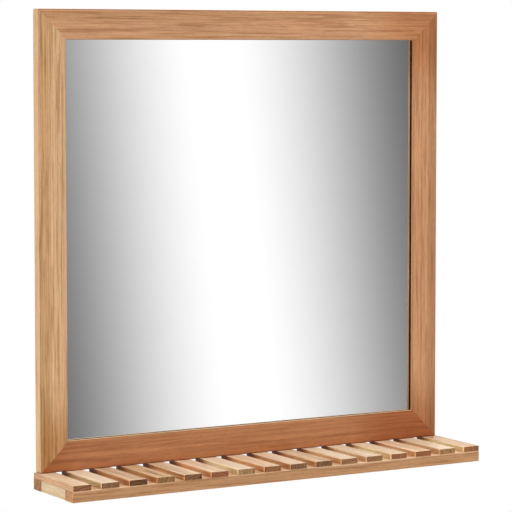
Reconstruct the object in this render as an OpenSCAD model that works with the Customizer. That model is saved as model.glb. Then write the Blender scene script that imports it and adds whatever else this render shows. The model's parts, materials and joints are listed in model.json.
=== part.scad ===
// Wall mirror in a mitred wooden frame that stands on a slatted shelf.
// X runs to the right, Y runs back to the wall plane at y = 0, Z runs up.
// The origin lies on the wall, halfway between the entry holes of the two hangers.

/* [Frame] */
// Height of the frame, from the shelf's slats to its top edge
frame_h = 576; // [440:0.5:700]
// Width of the face of each frame member
member_w = 38; // [38:1:60]
// Thickness of a member at its outer edge
member_t = 14; // [14:0.5:20]
// How far the crowned face rises from the outer edge to the ridge
crown = 1.3; // [0.5:0.1:2.5]
// Width of the bevel from the ridge down to the sight edge
bevel_w = 8.7; // [5:0.1:12]
// Radius that eases the outer front edge
arris_r = 2.4; // [1:0.1:4]
// Radius of the four outer corners of the frame
corner_r = 2.2; // [0.5:0.1:4]

/* [Mirror] */
// Thickness of the mirror pane
glass_t = 4; // [3:0.5:5]
// Depth of the lip in front of the pane
lip_t = 4.8; // [4:0.1:8]
// How far the rebate of the pane runs behind the lip
glass_lap = 8; // [6:0.5:9]
// Thickness of the back panel
panel_t = 3; // [2:0.5:4]
// How far the rebate of the panel runs beyond the rebate of the pane
panel_lap = 8; // [7:0.5:9]

/* [Shelf] */
// Width of the shelf
shelf_w = 600; // [520:1:700]
// How far each side of the frame stands in from the shelf's ends
frame_inset = 3; // [0:0.5:5]
// Depth of the shelf, out from the wall
shelf_d = 111; // [90:1:160]
// Number of slats
slat_count = 16; // [12:1:16]
// Width of a slat
slat_w = 24.5; // [20:0.5:26]
// Thickness of a slat
slat_t = 7; // [6:0.5:10]
// Depth of a batten, front to back
batten_w = 22; // [20:0.5:28]
// Height of a batten
batten_h = 14; // [12:0.5:18]
// Width of an end rail, along the shelf
end_rail_w = 22; // [20:0.5:26]
// Radius that eases the long edges of slats, battens and end rails
ease_r = 0.8; // [0.3:0.1:1.5]

/* [Hangers] */
// Distance from the frame's top edge down to the entry holes
hanger_drop = 80; // [60:1:120]
// Width of a hanger plate
hanger_w = 16; // [14:0.5:18]
// Height of a hanger plate
hanger_h = 46; // [44:1:50]
// Thickness of a hanger plate
hanger_t = 2; // [1.5:0.1:2.5]
// Radius of the round entry hole that a wall screw's head goes through
entry_r = 4.5; // [4:0.1:5]
// Width of the slot that the wall screw's shank rises in
slot_w = 4.6; // [4.2:0.1:5]
// Rise from the entry hole to the screw's place at the top of the slot
slot_rise = 11; // [9:0.5:12]
// Distance from the middle of a plate to each of its two screws
hanger_screw_reach = 17.5; // [17:0.1:18]

/* [Fasteners] */
// Radius of the mitre dowels and the end rail dowels
dowel_r = 3; // [2.5:0.5:3]
// Length of a mitre dowel
mitre_dowel_l = 20; // [14:1:20]
// Length of an end rail dowel
rail_dowel_l = 30; // [20:1:34]
// Number of panel screws along each side
panel_screws_per_side = 3; // [2:1:5]

/* [Hidden] */

// Turned and drilled shapes are round; the wide circle of the crowned face needs many more steps
$fn = 48;
crown_fn = 1440;
// How far a cut runs past the face that it opens
over = 1;
// Room for glue at each end of a dowel, and round it
glue_gap = 1;
bore_slack = 0.05;

// Sizes that follow from the driving dimensions; depths are counted out from the wall
frame_w = shelf_w - 2 * frame_inset;
shelf_t = batten_h + slat_t;
total_h = shelf_t + frame_h;
frame_cz = shelf_t + frame_h / 2;
entry_z = total_h - hanger_drop;
panel_back = 2;
glass_back = panel_back + panel_t;
glass_front = glass_back + glass_t;
sight_t = glass_front + lip_t;
ridge_t = member_t + crown;
ridge_u = member_w - bevel_w;
bevel_drop = ridge_t - sight_t;
crown_radius = (pow(ridge_u, 2) + pow(crown, 2)) / (2 * crown);
// The arris starts less than its radius below the outer edge, so that the crown trims it
arris_trim = 0.9;
arris_base = member_t - arris_trim * arris_r;

// Rebates, counted inwards from a member's outer edge
glass_rebate_u = member_w - glass_lap;
panel_rebate_u = glass_rebate_u - panel_lap;
glass_slack = 1;
glass_seam = 0.6;
panel_slack = 0.75;

// Screws: shank radius, head radius, length
panel_screw = [1.25, 2.6, 10];
hanger_screw = [1.5, 2.9, 9];
slat_screw = [1.5, 3, 15];
shelf_screw = [2, 4, 45];
head_rim = 0.3;
tip_slope = 2;
tip_flat = 0.2;
sink_slack = 0.3;
slat_sink = 3;
shelf_sink = 4;

// Hanger pocket
plate_slack = 0.15;
cavity_r = 5;
cavity_depth = 7;
hanger_u = panel_rebate_u / 2;
hanger_x = frame_w / 2 - hanger_u;
plate_mid = slot_rise / 2;

// Shelf layout
slat_pitch = (shelf_w - slat_w) / (slat_count - 1);
end_rail_l = shelf_d - 2 * batten_w;
end_rail_x = (shelf_w - end_rail_w) / 2;
slat_shade = 0.03;
shade_turn = 137;
rail_dowel_pitch = 10;
mitre_dowel_u = 12;
dowel_chamfer = 0.6;

// Places of the shelf's screws, counted in from the wall, or in from the front on the front batten
shelf_screw_y = member_t / 2;
back_screw_y = 16.5;
front_screw_y = batten_w / 2;
end_screw_y = 45;
inner_share = 0.375;
inner_pair = round(slat_count * inner_share);
shelf_screw_slats = [2, inner_pair, slat_count + 1 - inner_pair, slat_count - 1];

/* ---- names and places of what repeats ---- */

function slat_name(i) = str("slat_", i < 10 ? "0" : "", i);
function is_end_slat(i) = i == 1 || i == slat_count;
function slat_centre(i) = (slat_w - shelf_w) / 2 + (i - 1) * slat_pitch;

// The two y places of the screws under a slat: in both battens, or in the end rail for the end slats
function slat_screw_ys(i) =
    is_end_slat(i)
    ? [-end_screw_y, end_screw_y - shelf_d]
    : [-back_screw_y, front_screw_y - shelf_d];

// Places of the panel screws along a member of a given length, counted from its middle
function panel_screw_places(len) =
    let (n = panel_screws_per_side, pitch = (len - 2 * member_w) / n)
    [for (k = [0 : n - 1]) (k - (n - 1) / 2) * pitch];

/* ---- frames of reference ---- */

// Takes a piece drawn with z = 0 under the shelf to the origin on the wall, in its own colour
module placed(tone) {
    color(tone) translate([0, 0, -entry_z]) children();
}

// Takes a shape drawn for the bottom side of the frame (outer edge at z = 0) to one of its four sides
module frame_side(angle, reach) {
    translate([0, 0, frame_cz]) rotate([0, angle, 0]) translate([0, 0, -reach]) children();
}

module at_bottom() { frame_side(0, frame_h / 2) children(); }
module at_left() { frame_side(90, frame_w / 2) children(); }
module at_top() { frame_side(180, frame_h / 2) children(); }
module at_right() { frame_side(-90, frame_w / 2) children(); }

// Stands a shape that is drawn along +Z so that it points away from the wall, towards the viewer
module out_of_wall() {
    rotate([90, 0, 0]) children();
}

/* ---- shapes that repeat ---- */

// Countersunk wood screw along +Z, head at the origin, as [shank radius, head radius, length]
module wood_screw(size) {
    shank_r = size[0];
    head_r = size[1];
    length = size[2];
    cone = head_r - shank_r;
    tip = shank_r * tip_slope;
    rotate_extrude() polygon([
        [0, 0], [head_r, 0], [head_r, head_rim], [shank_r, head_rim + cone],
        [shank_r, length - tip], [shank_r * tip_flat, length], [0, length]
    ]);
}

// Straight dowel along Z, centred, with its ends chamfered
module dowel(length) {
    half = length / 2;
    rotate_extrude() polygon([
        [0, -half], [dowel_r - dowel_chamfer, -half], [dowel_r, dowel_chamfer - half],
        [dowel_r, half - dowel_chamfer], [dowel_r - dowel_chamfer, half], [0, half]
    ]);
}

// Hole for a dowel, a little longer than the dowel for the glue
module dowel_bore(length) {
    cylinder(h = length + 2 * glue_gap, r = dowel_r + bore_slack, center = true);
}

// Rectangle with rounded corners, from its lower left corner
module rounded_rect(w, h, r) {
    translate([r, 0]) square([w - 2 * r, h]);
    translate([0, r]) square([w, h - 2 * r]);
    for (x = [r, w - r], y = [r, h - r]) translate([x, y]) circle(r);
}

// Stadium standing on end, with its two round ends centred at y = low and y = high
module stadium(r, low, high) {
    translate([-r, low]) square([2 * r, high - low]);
    translate([0, low]) circle(r);
    translate([0, high]) circle(r);
}

// Bar along X with its four long edges eased, centred on x = 0, its back face at y = 0
module long_bar(length, depth, height) {
    translate([-length / 2, 0, 0]) rotate([90, 0, 90]) linear_extrude(length)
        translate([-depth, 0]) rounded_rect(depth, height, ease_r);
}

// Bar from y = 0 out towards the front with its four long edges eased, centred on x = 0
module cross_bar(length, width, height) {
    rotate([90, 0, 0]) linear_extrude(length)
        translate([-width / 2, 0]) rounded_rect(width, height, ease_r);
}

/* ---- frame moulding ---- */

// Section of a member: x runs in from the outer edge, y runs out from the wall
module member_section() {
    difference() {
        intersection() {
            union() {
                square([arris_r, arris_base]);
                translate([arris_r, arris_base]) circle(arris_r);
                polygon([
                    [arris_r, 0], [member_w, 0], [member_w, sight_t],
                    [ridge_u - bevel_w, ridge_t + bevel_drop], [arris_r, ridge_t + bevel_drop]
                ]);
            }
            translate([ridge_u, ridge_t - crown_radius]) circle(crown_radius, $fn = crown_fn);
        }
        translate([glass_rebate_u, -over]) square([glass_lap + over, glass_front + over]);
        translate([panel_rebate_u, -over])
            square([glass_lap + panel_lap + over, glass_back + over]);
    }
}

// Outline of a member seen from the front: mitred at both ends, with its outer corners eased
module member_outline(len) {
    intersection() {
        polygon([
            [-len / 2, 0], [len / 2, 0],
            [len / 2 - member_w, member_w], [member_w - len / 2, member_w]
        ]);
        translate([-len / 2, 0]) rounded_rect(len, 2 * member_w, corner_r);
    }
}

// One bare member on the bottom side, with its mitres cut
module member(len) {
    intersection() {
        translate([-len / 2, 0, 0]) rotate([180, -90, 0]) linear_extrude(len) member_section();
        out_of_wall() linear_extrude(ridge_t + over) member_outline(len);
    }
}

// Turns a shape drawn along Z square to the mitre at a member's end; side is -1 or 1
module across_mitre(len, side) {
    translate([side * (len / 2 - mitre_dowel_u), -member_t / 2, mitre_dowel_u])
        rotate([0, side * 45, 0]) children();
}

module mitre_bores(len) {
    for (side = [-1, 1]) across_mitre(len, side) dowel_bore(mitre_dowel_l);
}

// Screws through the panel's edge into the ledge of a member
module panel_screw_row(len) {
    for (x = panel_screw_places(len))
        translate([x, -panel_back, (panel_rebate_u + glass_rebate_u) / 2])
            out_of_wall() wood_screw(panel_screw);
}

// Member with its dowel bores and the holes that its panel screws cut
module drilled_member(len) {
    difference() {
        member(len);
        mitre_bores(len);
        panel_screw_row(len);
    }
}

/* ---- hangers ---- */

// Takes a hanger drawn at the origin, with its entry hole at z = 0, to one stile; side is -1 or 1
module at_hanger(side) {
    translate([side * hanger_x, 0, entry_z]) children();
}

// Recess for the plate, room behind it for a wall screw's head, and the plate's own screws
module hanger_pocket() {
    out_of_wall() {
        translate([0, 0, -over]) linear_extrude(hanger_t + over)
            translate([0, plate_mid]) plate_outline(plate_slack);
        linear_extrude(hanger_t + cavity_depth) stadium(cavity_r, 0, slot_rise);
    }
    hanger_screw_pair();
}

module plate_outline(slack) {
    reach = (hanger_h - hanger_w) / 2;
    stadium(hanger_w / 2 + slack, -reach, reach);
}

// Keyhole plate: round entry hole, slot above it, and a countersunk hole near each end
module hanger_plate() {
    difference() {
        out_of_wall() linear_extrude(hanger_t) difference() {
            translate([0, plate_mid]) plate_outline(0);
            circle(entry_r);
            stadium(slot_w / 2, 0, slot_rise);
        }
        hanger_screw_pair();
    }
}

module hanger_screw_pair() {
    for (end = [-1, 1])
        translate([0, 0, plate_mid + end * hanger_screw_reach])
            out_of_wall() wood_screw(hanger_screw);
}

/* ---- nodes of the frame ---- */

module left_stile() {
    placed([0.80, 0.64, 0.47]) difference() {
        at_left() drilled_member(frame_h);
        at_hanger(-1) hanger_pocket();
    }
}

module right_stile() {
    placed([0.73, 0.54, 0.39]) difference() {
        at_right() drilled_member(frame_h);
        at_hanger(1) hanger_pocket();
    }
}

module top_rail() {
    placed([0.77, 0.58, 0.43]) at_top() drilled_member(frame_w);
}

// The long shelf screws bite into its underside
module bottom_rail() {
    placed([0.67, 0.45, 0.31]) difference() {
        at_bottom() drilled_member(frame_w);
        all_shelf_screws();
    }
}

module mitre_dowels() {
    placed([0.86, 0.76, 0.58]) for (side = [-1, 1]) {
        at_bottom() across_mitre(frame_w, side) dowel(mitre_dowel_l);
        at_top() across_mitre(frame_w, side) dowel(mitre_dowel_l);
    }
}

// Pane with ground arrises, standing on the rebate of the bottom rail
module mirror_glass() {
    w = frame_w - 2 * glass_rebate_u - 2 * glass_slack;
    h = frame_h - 2 * glass_rebate_u - glass_slack;
    placed([0.80, 0.84, 0.86])
        translate([-w / 2, -glass_front, shelf_t + glass_rebate_u]) intersection() {
            rotate([90, 0, 90]) linear_extrude(w) seamed_section(glass_t, h, glass_seam);
            linear_extrude(h) rotate(90) mirror([0, 1]) seamed_section(glass_t, w, glass_seam);
        }
}

// Section through the thickness of a pane, with its four arrises ground off
module seamed_section(thick, tall, seam) {
    polygon([
        [seam, 0], [thick - seam, 0], [thick, seam], [thick, tall - seam],
        [thick - seam, tall], [seam, tall], [0, tall - seam], [0, seam]
    ]);
}

module back_panel() {
    w = frame_w - 2 * panel_rebate_u - 2 * panel_slack;
    h = frame_h - 2 * panel_rebate_u - 2 * panel_slack;
    placed([0.45, 0.33, 0.24]) difference() {
        translate([-w / 2, -glass_back, frame_cz - h / 2]) cube([w, panel_t, h]);
        all_panel_screws();
    }
}

module all_panel_screws() {
    at_bottom() panel_screw_row(frame_w);
    at_top() panel_screw_row(frame_w);
    at_left() panel_screw_row(frame_h);
    at_right() panel_screw_row(frame_h);
}

module panel_screws() {
    placed([0.72, 0.72, 0.74]) all_panel_screws();
}

module left_hanger() {
    placed([0.75, 0.75, 0.77]) at_hanger(-1) hanger_plate();
}

module right_hanger() {
    placed([0.75, 0.75, 0.77]) at_hanger(1) hanger_plate();
}

module hanger_screws() {
    placed([0.72, 0.72, 0.74]) for (side = [-1, 1]) at_hanger(side) hanger_screw_pair();
}

/* ---- screws and dowels of the shelf ---- */

// The two screws under slat number i, driven up from counterbores
module slat_screw_pair(i) {
    for (y = slat_screw_ys(i)) translate([slat_centre(i), y, slat_sink]) wood_screw(slat_screw);
}

module slat_screw_holes(i) {
    slat_screw_pair(i);
    for (y = slat_screw_ys(i)) translate([slat_centre(i), y, 0]) counterbore(slat_screw, slat_sink);
}

// The screw that runs up through the back batten and slat number i into the bottom rail
module shelf_screw_at(i) {
    translate([slat_centre(i), -shelf_screw_y, shelf_sink]) wood_screw(shelf_screw);
}

module shelf_screw_hole(i) {
    shelf_screw_at(i);
    translate([slat_centre(i), -shelf_screw_y, 0]) counterbore(shelf_screw, shelf_sink);
}

// Round sinking from z = 0 up to a screw's head
module counterbore(size, depth) {
    translate([0, 0, -over]) cylinder(h = depth + over, r = size[1] + sink_slack);
}

module all_shelf_screws() {
    for (i = shelf_screw_slats) shelf_screw_at(i);
}

// Takes a dowel along Z to each joint between an end rail and a batten; side is -1 or 1
module at_rail_joints(side) {
    for (step = [-0.5, 0.5], y = [-batten_w, batten_w - shelf_d])
        translate([side * end_rail_x + step * rail_dowel_pitch, y, batten_h / 2])
            rotate([90, 0, 0]) children();
}

/* ---- nodes of the shelf ---- */

module front_batten() {
    placed([0.75, 0.57, 0.41]) drilled_batten(batten_w - shelf_d);
}

module back_batten() {
    placed([0.72, 0.53, 0.37]) difference() {
        drilled_batten(0);
        for (i = shelf_screw_slats) shelf_screw_hole(i);
    }
}

// Batten with its back face at a given y, bored for its slat screws and end rail dowels
module drilled_batten(y) {
    difference() {
        translate([0, y, 0]) long_bar(shelf_w, batten_w, batten_h);
        for (i = [2 : slat_count - 1]) slat_screw_holes(i);
        for (side = [-1, 1]) at_rail_joints(side) dowel_bore(rail_dowel_l);
    }
}

// End rail between the battens, under slat number i; side is -1 or 1
module drilled_end_rail(side, i) {
    difference() {
        translate([side * end_rail_x, -batten_w, 0]) cross_bar(end_rail_l, end_rail_w, batten_h);
        slat_screw_holes(i);
        at_rail_joints(side) dowel_bore(rail_dowel_l);
    }
}

module left_end_rail() {
    placed([0.89, 0.80, 0.66]) drilled_end_rail(-1, 1);
}

module right_end_rail() {
    placed([0.87, 0.74, 0.56]) drilled_end_rail(1, slat_count);
}

module end_rail_dowels() {
    placed([0.86, 0.76, 0.58]) for (side = [-1, 1]) at_rail_joints(side) dowel(rail_dowel_l);
}

// Slat number i, from the left; its colour wanders a little from slat to slat
module slat(i) {
    shade = slat_shade * sin(i * shade_turn);
    placed([0.87 + shade, 0.73 + shade, 0.58 + shade]) difference() {
        translate([slat_centre(i), 0, batten_h]) cross_bar(shelf_d, slat_w, slat_t);
        slat_screw_pair(i);
        for (k = shelf_screw_slats) if (k == i) shelf_screw_at(i);
    }
}

module slat_screws() {
    placed([0.72, 0.72, 0.74]) for (i = [1 : slat_count]) slat_screw_pair(i);
}

module shelf_screws() {
    placed([0.72, 0.72, 0.74]) all_shelf_screws();
}

/* ---- assembly ---- */

left_stile();
right_stile();
top_rail();
bottom_rail();
mitre_dowels();
mirror_glass();
back_panel();
panel_screws();
left_hanger();
right_hanger();
hanger_screws();
front_batten();
back_batten();
left_end_rail();
right_end_rail();
end_rail_dowels();
for (i = [1 : slat_count]) slat(i);
slat_screws();
shelf_screws();
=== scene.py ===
"""Looks of a wall mirror in a mitred wooden frame that stands on a slatted wooden shelf.

Lengths are in metres. X runs to the right along the shelf, Y runs back into the wall and Z runs up.
The origin lies on the wall plane, halfway between the entry holes of the two hangers.
"""

import json
import logging
import math
from collections.abc import Callable, Iterator
from contextlib import contextmanager
from dataclasses import dataclass
from enum import Enum

import bmesh
import bpy
from mathutils import Matrix, Vector

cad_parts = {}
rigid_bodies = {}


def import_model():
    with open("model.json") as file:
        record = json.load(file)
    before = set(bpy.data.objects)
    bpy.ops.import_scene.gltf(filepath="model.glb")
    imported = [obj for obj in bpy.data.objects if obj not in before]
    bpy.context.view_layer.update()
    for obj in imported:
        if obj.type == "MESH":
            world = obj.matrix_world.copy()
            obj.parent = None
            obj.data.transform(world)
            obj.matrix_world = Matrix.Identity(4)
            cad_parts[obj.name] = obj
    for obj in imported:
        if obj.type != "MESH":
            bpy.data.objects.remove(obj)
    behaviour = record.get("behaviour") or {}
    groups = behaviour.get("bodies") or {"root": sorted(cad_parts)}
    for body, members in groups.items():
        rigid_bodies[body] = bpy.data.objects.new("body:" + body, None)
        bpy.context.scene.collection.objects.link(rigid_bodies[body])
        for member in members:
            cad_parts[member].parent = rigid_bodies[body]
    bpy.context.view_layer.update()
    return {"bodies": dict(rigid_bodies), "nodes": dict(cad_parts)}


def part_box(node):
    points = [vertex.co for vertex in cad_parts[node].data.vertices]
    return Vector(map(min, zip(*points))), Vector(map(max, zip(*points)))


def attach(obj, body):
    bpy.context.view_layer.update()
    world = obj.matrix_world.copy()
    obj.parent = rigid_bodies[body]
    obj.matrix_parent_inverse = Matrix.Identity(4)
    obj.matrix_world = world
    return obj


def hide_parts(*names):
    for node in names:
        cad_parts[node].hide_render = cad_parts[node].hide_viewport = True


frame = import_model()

LOG = logging.getLogger("mirror_with_shelf")
MM = 0.001
WELD = 0.002 * MM
FLAT_WITHIN = math.radians(0.05)
EASED_OVER = math.radians(35)
SMOOTH_UNDER = math.radians(40)
# A part of a unit vector over FACING points that way, and one under LEVEL lies across it.
FACING = 0.9
LEVEL = 0.01
BODY = next(iter(frame["bodies"]))

Socket = bpy.types.NodeSocket
Node = bpy.types.Node
Piece = bpy.types.Object
Outputs = bpy.types.NodeOutputs
Material = bpy.types.Material
Triple = tuple[float, float, float]
Colour = tuple[float, float, float, float]
Box = tuple[Vector, Vector]

WHITE: Colour = (1.0, 1.0, 1.0, 1.0)


# ---- colours, and the wiring of shader nodes ----


def paint(code: str) -> Colour:
    """Turns a colour as it is seen into the shader's linear one, by the sRGB curve.

    Args:
        code: six hexadecimal digits, red first.

    Returns:
        Red, green, blue and an alpha of 1.
    """
    seen = [int(code[i : i + 2], 16) / 255 for i in (0, 2, 4)]
    red, green, blue = (c / 12.92 if c <= 0.04045 else ((c + 0.055) / 1.055) ** 2.4 for c in seen)
    return (red, green, blue, 1.0)


class Wiring:
    """Makes the nodes of one shader tree and joins their sockets."""

    def __init__(self, tree: bpy.types.NodeTree) -> None:
        """Takes the tree to work in."""
        self.tree = tree

    def node(self, kind: str, feeds: dict | None = None, **settings: object) -> Node:
        """Adds a node.

        Args:
            kind: the node's type, without its leading ShaderNode.
            feeds: values or sockets for its inputs, by name or number.
            settings: properties of the node itself.

        Returns:
            The new node.
        """
        made = self.tree.nodes.new("ShaderNode" + kind)
        for name, value in settings.items():
            setattr(made, name, value)
        self.feed_all(made, feeds or {})
        return made

    def feed(self, socket: Socket, value: object) -> None:
        """Links a socket to an input, or sets the input to a plain value."""
        if isinstance(value, Socket):
            self.tree.links.new(value, socket)
        else:
            socket.default_value = value

    def feed_all(self, node: Node, feeds: dict) -> None:
        """Feeds several inputs of a node, by name or number."""
        for name, value in feeds.items():
            self.feed(node.inputs[name], value)

    def math(self, how: str, a: object, b: object = 0.0) -> Socket:
        """Works out one number from two."""
        return self.node("Math", {0: a, 1: b}, operation=how).outputs[0]

    def times(self, a: object, b: object) -> Socket:
        """Multiplies two numbers."""
        return self.math("MULTIPLY", a, b)

    def plus(self, a: object, b: object) -> Socket:
        """Adds two numbers."""
        return self.math("ADD", a, b)

    def minus(self, a: object, b: object) -> Socket:
        """Takes the second number from the first."""
        return self.math("SUBTRACT", a, b)

    def vector(self, how: str, a: object, b: object) -> Socket:
        """Works out one vector from two."""
        return self.node("VectorMath", {0: a, 1: b}, operation=how).outputs[0]

    def parts(self, vector: object) -> Outputs:
        """Splits a vector into its three parts."""
        return self.node("SeparateXYZ", {0: vector}).outputs

    def length(self, vector: object) -> Socket:
        """Gives the length of a vector."""
        return self.node("VectorMath", {0: vector}, operation="LENGTH").outputs["Value"]

    def here(self) -> Socket:
        """Gives the point that is shaded, in the scene's metres."""
        return self.node("TexCoord").outputs["Object"]

    def noise(self, point: object, bumps: tuple, detail: float = 2.0, rough: float = 0.5) -> Outputs:
        """Adds smooth noise with about so many bumps to the metre along each axis."""
        spot = self.vector("MULTIPLY", point, bumps)
        feeds = {"Vector": spot, "Scale": 1.0, "Detail": detail, "Roughness": rough}
        return self.node("TexNoise", feeds).outputs

    def drift(self, along: Socket) -> Socket:
        """Adds smooth noise that changes with one number."""
        return self.node("TexNoise", {"W": along, "Scale": 1.0}, noise_dimensions="1D").outputs[0]

    def bump(self, height: Socket, distance: float, strength: float = 0.5) -> Socket:
        """Turns a height into a bent normal."""
        feeds = {"Height": height, "Distance": distance, "Strength": strength}
        return self.node("Bump", feeds).outputs[0]

    def step(self, value: object, low: object, high: object) -> Socket:
        """Rises smoothly from 0 to 1 while the value goes from low to high."""
        feeds = {0: value, 1: low, 2: high, 3: 0.0, 4: 1.0}
        return self.node("MapRange", feeds, interpolation_type="SMOOTHSTEP").outputs[0]

    def spread(self, value: object, low: float, high: float) -> Socket:
        """Stretches a value of 0 to 1 so that it runs from low to high."""
        return self.node("MapRange", {0: value, 1: 0.0, 2: 1.0, 3: low, 4: high}).outputs[0]

    def mix(self, share: object, a: object, b: object, blend: str = "MIX") -> Socket:
        """Mixes colour b, or a number as a grey, into colour a."""
        feeds = {0: share, 6: a, 7: b}
        return self.node("Mix", feeds, data_type="RGBA", blend_type=blend).outputs[2]


class TimberGroup:
    """Solid wood: growth rings round a pith, fibres, pores, sapwood, end grain and eased edges, with
    painted shade and highlights.

    This shader node group is built once, for all wooden pieces. Its point lies in the log, with the grain
    along X and the pith at y = z = 0. Tip Faces says how far the tips' tint shows everywhere, on faces
    toward +Y and on faces toward -Y.
    """

    name = "timber"
    kinds = {float: "NodeSocketFloat", tuple: "NodeSocketColor", Vector: "NodeSocketVector"}
    outputs = {"Color": "NodeSocketColor", "Roughness": "NodeSocketFloat", "Height": "NodeSocketFloat"}

    # Bumps of each noise to the metre, along the grain and across it.
    drift_bumps = (2.6, 16.0, 16.0)
    band_bumps = (5.0, 55.0, 55.0)
    streak_bumps = (11.0, 340.0, 340.0)
    mottle_bumps = (55.0, 190.0, 190.0)
    fibre_bumps = (60.0, 1500.0, 1500.0)
    pore_bumps = (150.0, 2600.0, 2600.0)
    ring_bumps = 90.0
    year_bumps = 0.8

    # From where to where each thing comes in.
    late_rise = (0.15, 0.9)
    late_fall = (0.93, 1.0)
    streak_range = (0.46, 0.66)
    pore_range = (0.56, 0.7)
    sap_range = (-0.6 * MM, 1.2 * MM)
    sap_ripple = 4 * MM
    knot_range = (0.0, 1.6 * MM)
    knot_breaks = (0.4, 0.6)
    rim_range = (0.0, 7 * MM)

    # Detail and roughness of the noise, the swings of band, fibre, mottle and year, and other shares.
    wood_noise = (3.0, 0.6)
    swings = (0.16, 0.14, 0.14, 0.07)
    ring_wander = 2.5
    sap_share = 0.9
    sap_rings = 0.3
    pore_shade = 0.35
    end_rings = (1.1, 0.72)
    knot_tone = "6A4A2C"
    knot_stretch = (0.11, 1.0, 1.0)
    knot_shares = (0.35, 0.95)
    roughness = (0.4, 0.52)
    end_roughness = 0.22
    pore_roughness = 0.2
    late_height = 0.35

    # From where to where a part of the normal counts as facing that way.
    end_on = (0.6, 0.85)
    side_on = (0.5, 0.85)
    lip_on = (0.85, 0.97)
    square_on = (0.82, 0.93)

    def place(self, wiring: Wiring, feeds: dict[str, object]) -> Outputs:
        """Places the group in a material, with its inputs fed by name, and gives its outputs."""
        tree = bpy.data.node_groups.get(self.name) or self.build()
        return wiring.node("Group", feeds, node_tree=tree).outputs

    def build(self) -> bpy.types.NodeTree:
        """Makes the group's sockets and wires what lies between them."""
        made = bpy.data.node_groups.new(self.name, "ShaderNodeTree")
        inputs = {"Point": Vector((0, 0, 0)), "Normal": Vector((0, 0, 1)), **Wood().inputs()}
        for label, default in inputs.items():
            kind = self.kinds[type(default)]
            socket = made.interface.new_socket(label, in_out="INPUT", socket_type=kind)
            socket.default_value = default
        for label, kind in self.outputs.items():
            made.interface.new_socket(label, in_out="OUTPUT", socket_type=kind)
        source = made.nodes.new("NodeGroupInput").outputs
        sink = made.nodes.new("NodeGroupOutput")
        wiring = Wiring(made)
        wiring.feed_all(sink, self.wire(wiring, source))
        return made

    def wire(self, wiring: Wiring, source: Outputs) -> dict[str, Socket]:
        """Wires the wood, from the large to the small."""
        w, point = wiring, source["Point"]
        drift = w.noise(point, self.drift_bumps)["Color"]
        drift = w.vector("SUBTRACT", drift, (0.5, 0.5, 0.5))
        reach = w.node("VectorMath", {0: drift, "Scale": source["Wander"]}, operation="SCALE").outputs[0]
        bent = w.vector("ADD", point, reach)
        radius = w.length(w.vector("MULTIPLY", bent, (0.0, 1.0, 1.0)))
        ring, year = self.rings(w, radius, source["Ring Width"])
        late = w.times(w.step(ring, *self.late_rise), w.minus(1.0, w.step(ring, *self.late_fall)))
        fibre, streak, band, mottle = (
            w.noise(bent, bumps, *self.wood_noise)[0]
            for bumps in (self.fibre_bumps, self.streak_bumps, self.band_bumps, self.mottle_bumps)
        )
        pore = w.step(w.noise(point, self.pore_bumps)[0], *self.pore_range)
        pore = w.times(pore, source["Pores"])
        facing = w.parts(w.vector("ABSOLUTE", source["Normal"], (0.0, 0.0, 0.0)))
        end = w.step(facing[0], *self.end_on)

        colour = w.mix(w.times(late, source["Contrast"]), source["Early"], source["Late"])
        dark = w.times(w.step(streak, *self.streak_range), source["Streaks"])
        colour = w.mix(dark, colour, source["Late"])
        # Painted shade: a board's long narrow sides are multiplied by the flank tint, darker and warmer as
        # in the slots between slats.
        side = w.step(facing[1], *self.side_on)
        colour = w.mix(side, colour, w.mix(1.0, colour, source["Flank"], "MULTIPLY"))
        edge = w.plus(source["Sap Edge"], w.times(w.minus(streak, 0.5), self.sap_ripple))
        sap = w.step(w.minus(radius, edge), *self.sap_range)
        sapwood = w.mix(w.times(late, self.sap_rings), source["Sap"], source["Early"])
        colour = w.mix(w.times(sap, self.sap_share), colour, sapwood)
        light = w.minus(1.0, w.times(pore, self.pore_shade))
        for tone, swing in zip((band, fibre, mottle, year), self.swings):
            light = w.times(light, w.spread(tone, 1 - swing, 1 + swing))
        colour = w.mix(1.0, colour, light, "MULTIPLY")
        colour = w.mix(self.knot(w, bent, streak, source), colour, paint(self.knot_tone))
        colour = w.mix(self.rim(w, point, source), colour, source["Rim"], "MULTIPLY")
        colour = w.mix(self.tips(w, point, source), colour, source["Tip"], "MULTIPLY")
        # Painted highlight: the faces that look into the opening, the lip beside the pane, take the lighter
        # lip colour, as if lit and catching a sheen.
        outward = w.parts(source["Normal"])[2]
        inward = w.times(w.times(outward, source["Rim Side"]), -1.0)
        lip = w.times(w.step(inward, *self.lip_on), source["Lip Share"])
        colour = w.mix(lip, colour, source["Lip"])
        rings_on_end = w.spread(late, *self.end_rings)
        ended = w.mix(1.0, w.mix(1.0, colour, source["End"], "MULTIPLY"), rings_on_end, "MULTIPLY")
        colour = w.mix(end, colour, ended)
        # The eased edges take the edge colour: on most pieces a lighter rub, partly wear and partly painted
        # highlight; on the frame a darker line that is painted shade.
        edge_wear_and_light = w.times(self.eased(w, facing), source["Edge Share"])
        colour = w.mix(edge_wear_and_light, colour, source["Edge"])

        rough = w.plus(w.spread(fibre, *self.roughness), w.times(end, self.end_roughness))
        rough = w.plus(rough, w.times(pore, self.pore_roughness))
        height = w.minus(w.plus(fibre, w.times(late, self.late_height)), pore)
        return {"Color": colour, "Roughness": rough, "Height": height}

    def knot(self, w: Wiring, point: Socket, streak: Socket, source: Outputs) -> Socket:
        """Finds a small knot, drawn out along the grain and broken up by the streaks beside it."""
        away = w.vector("MULTIPLY", w.vector("SUBTRACT", point, source["Knot"]), self.knot_stretch)
        depth = w.step(w.minus(source["Knot Size"], w.length(away)), *self.knot_range)
        return w.times(depth, w.spread(w.step(streak, *self.knot_breaks), *self.knot_shares))

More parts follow.
